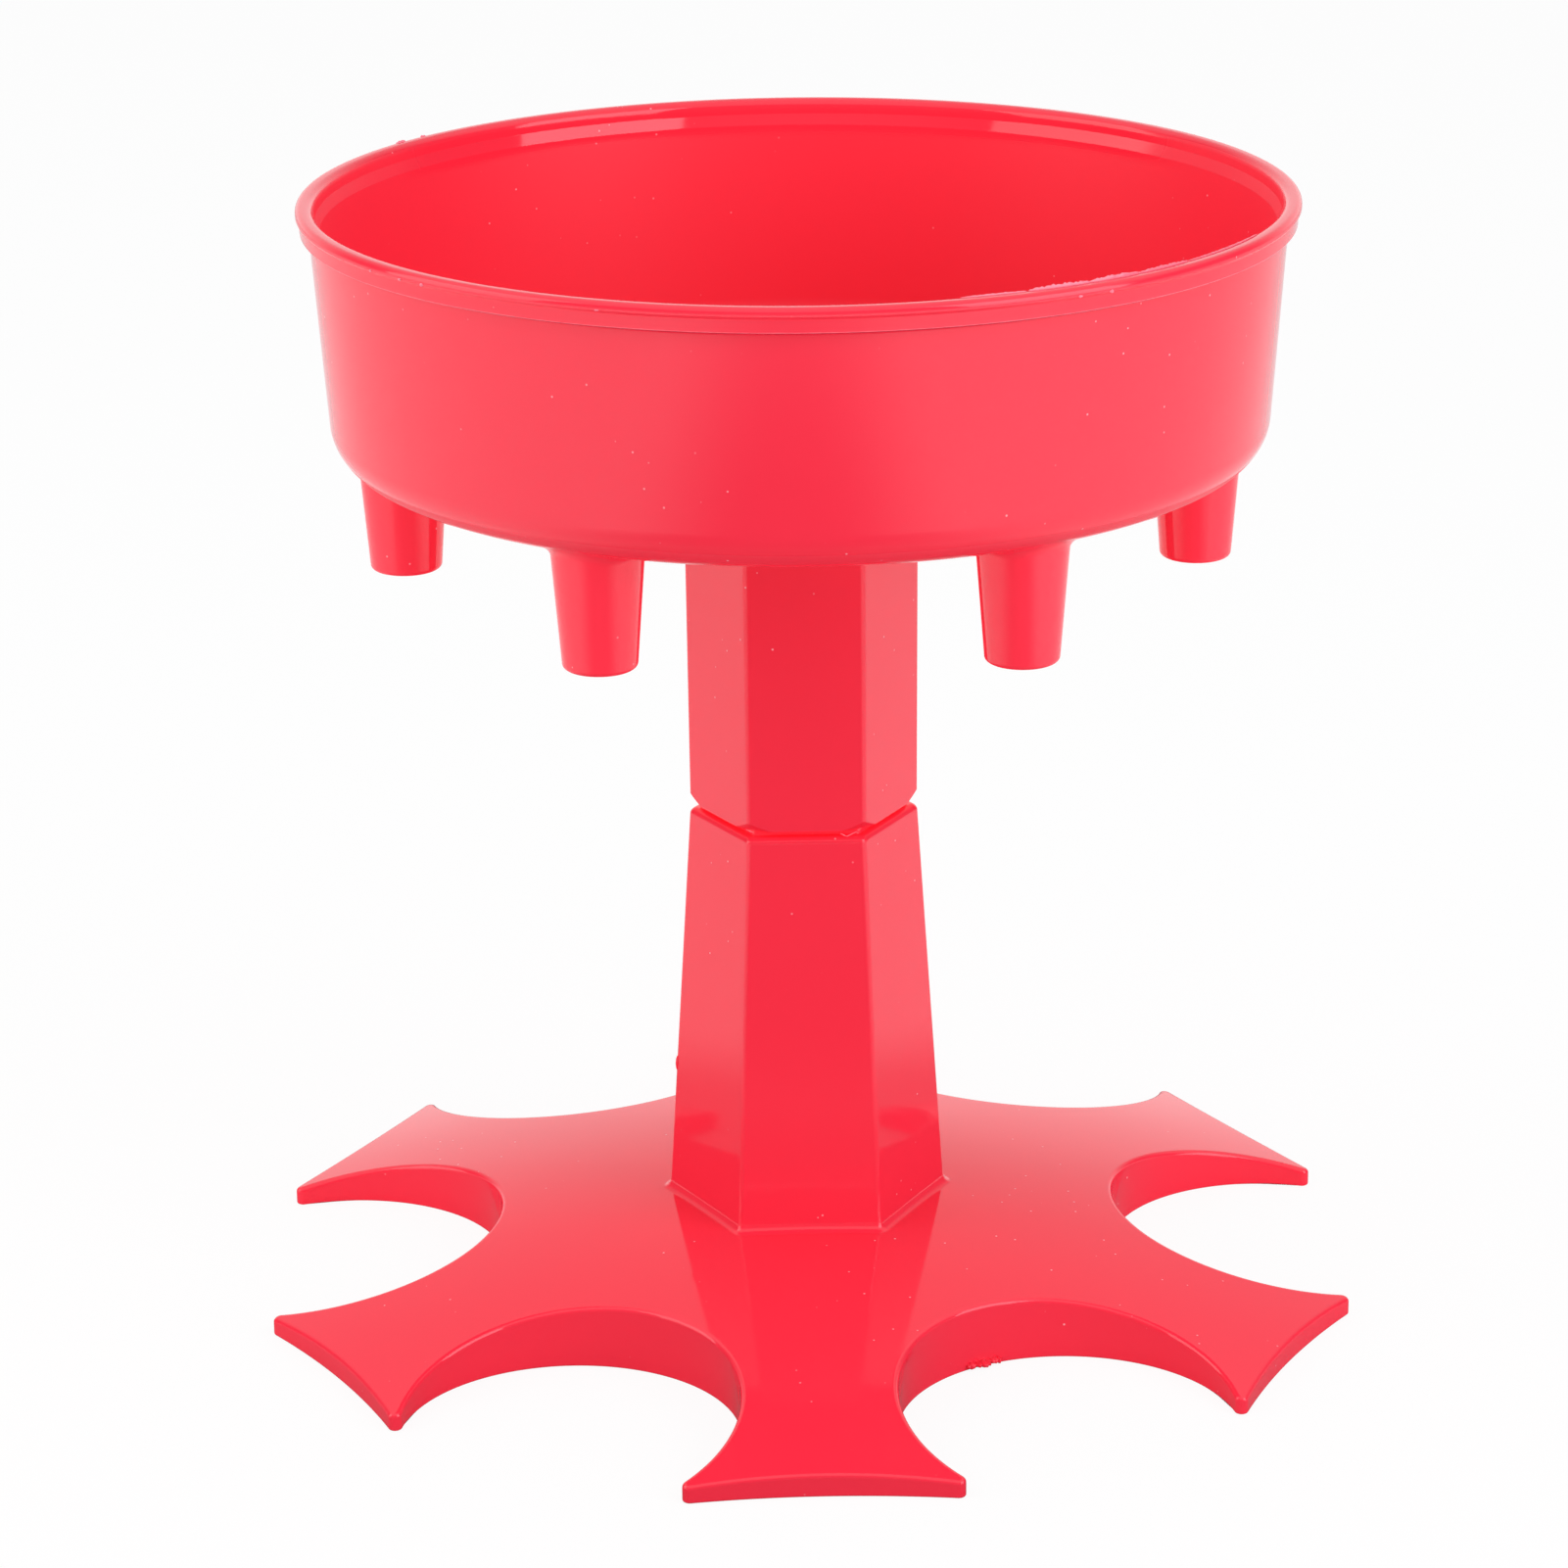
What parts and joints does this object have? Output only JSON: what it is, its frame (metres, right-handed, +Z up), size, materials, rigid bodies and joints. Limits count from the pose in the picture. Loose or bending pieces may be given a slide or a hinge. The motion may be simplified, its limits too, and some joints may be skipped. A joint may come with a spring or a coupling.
{
  "type": "shot dispenser",
  "caption": "Round bowl with spouts under its floor, on a hexagonal column that lifts off a star-shaped stand with round bays for shot glasses.",
  "frame": {"origin": "centre of the stand's footprint on the table", "axes": "+Z up along the column, -Y towards the front arm of the star, +X towards the right-hand bay"},
  "size_m": [0.155, 0.157, 0.16],
  "materials": {
    "red_plastic": "gloss"
  },
  "bodies": {
    "stand": {"star_stand": "red_plastic"},
    "bowl": {"dispenser_bowl": "red_plastic"}
  },
  "joints": [
    {"name": "bowl_lift", "type": "slide", "parent": "stand", "child": "bowl", "axis": [0, 0, 1], "range_m": [0, 0.019]}
  ]
}
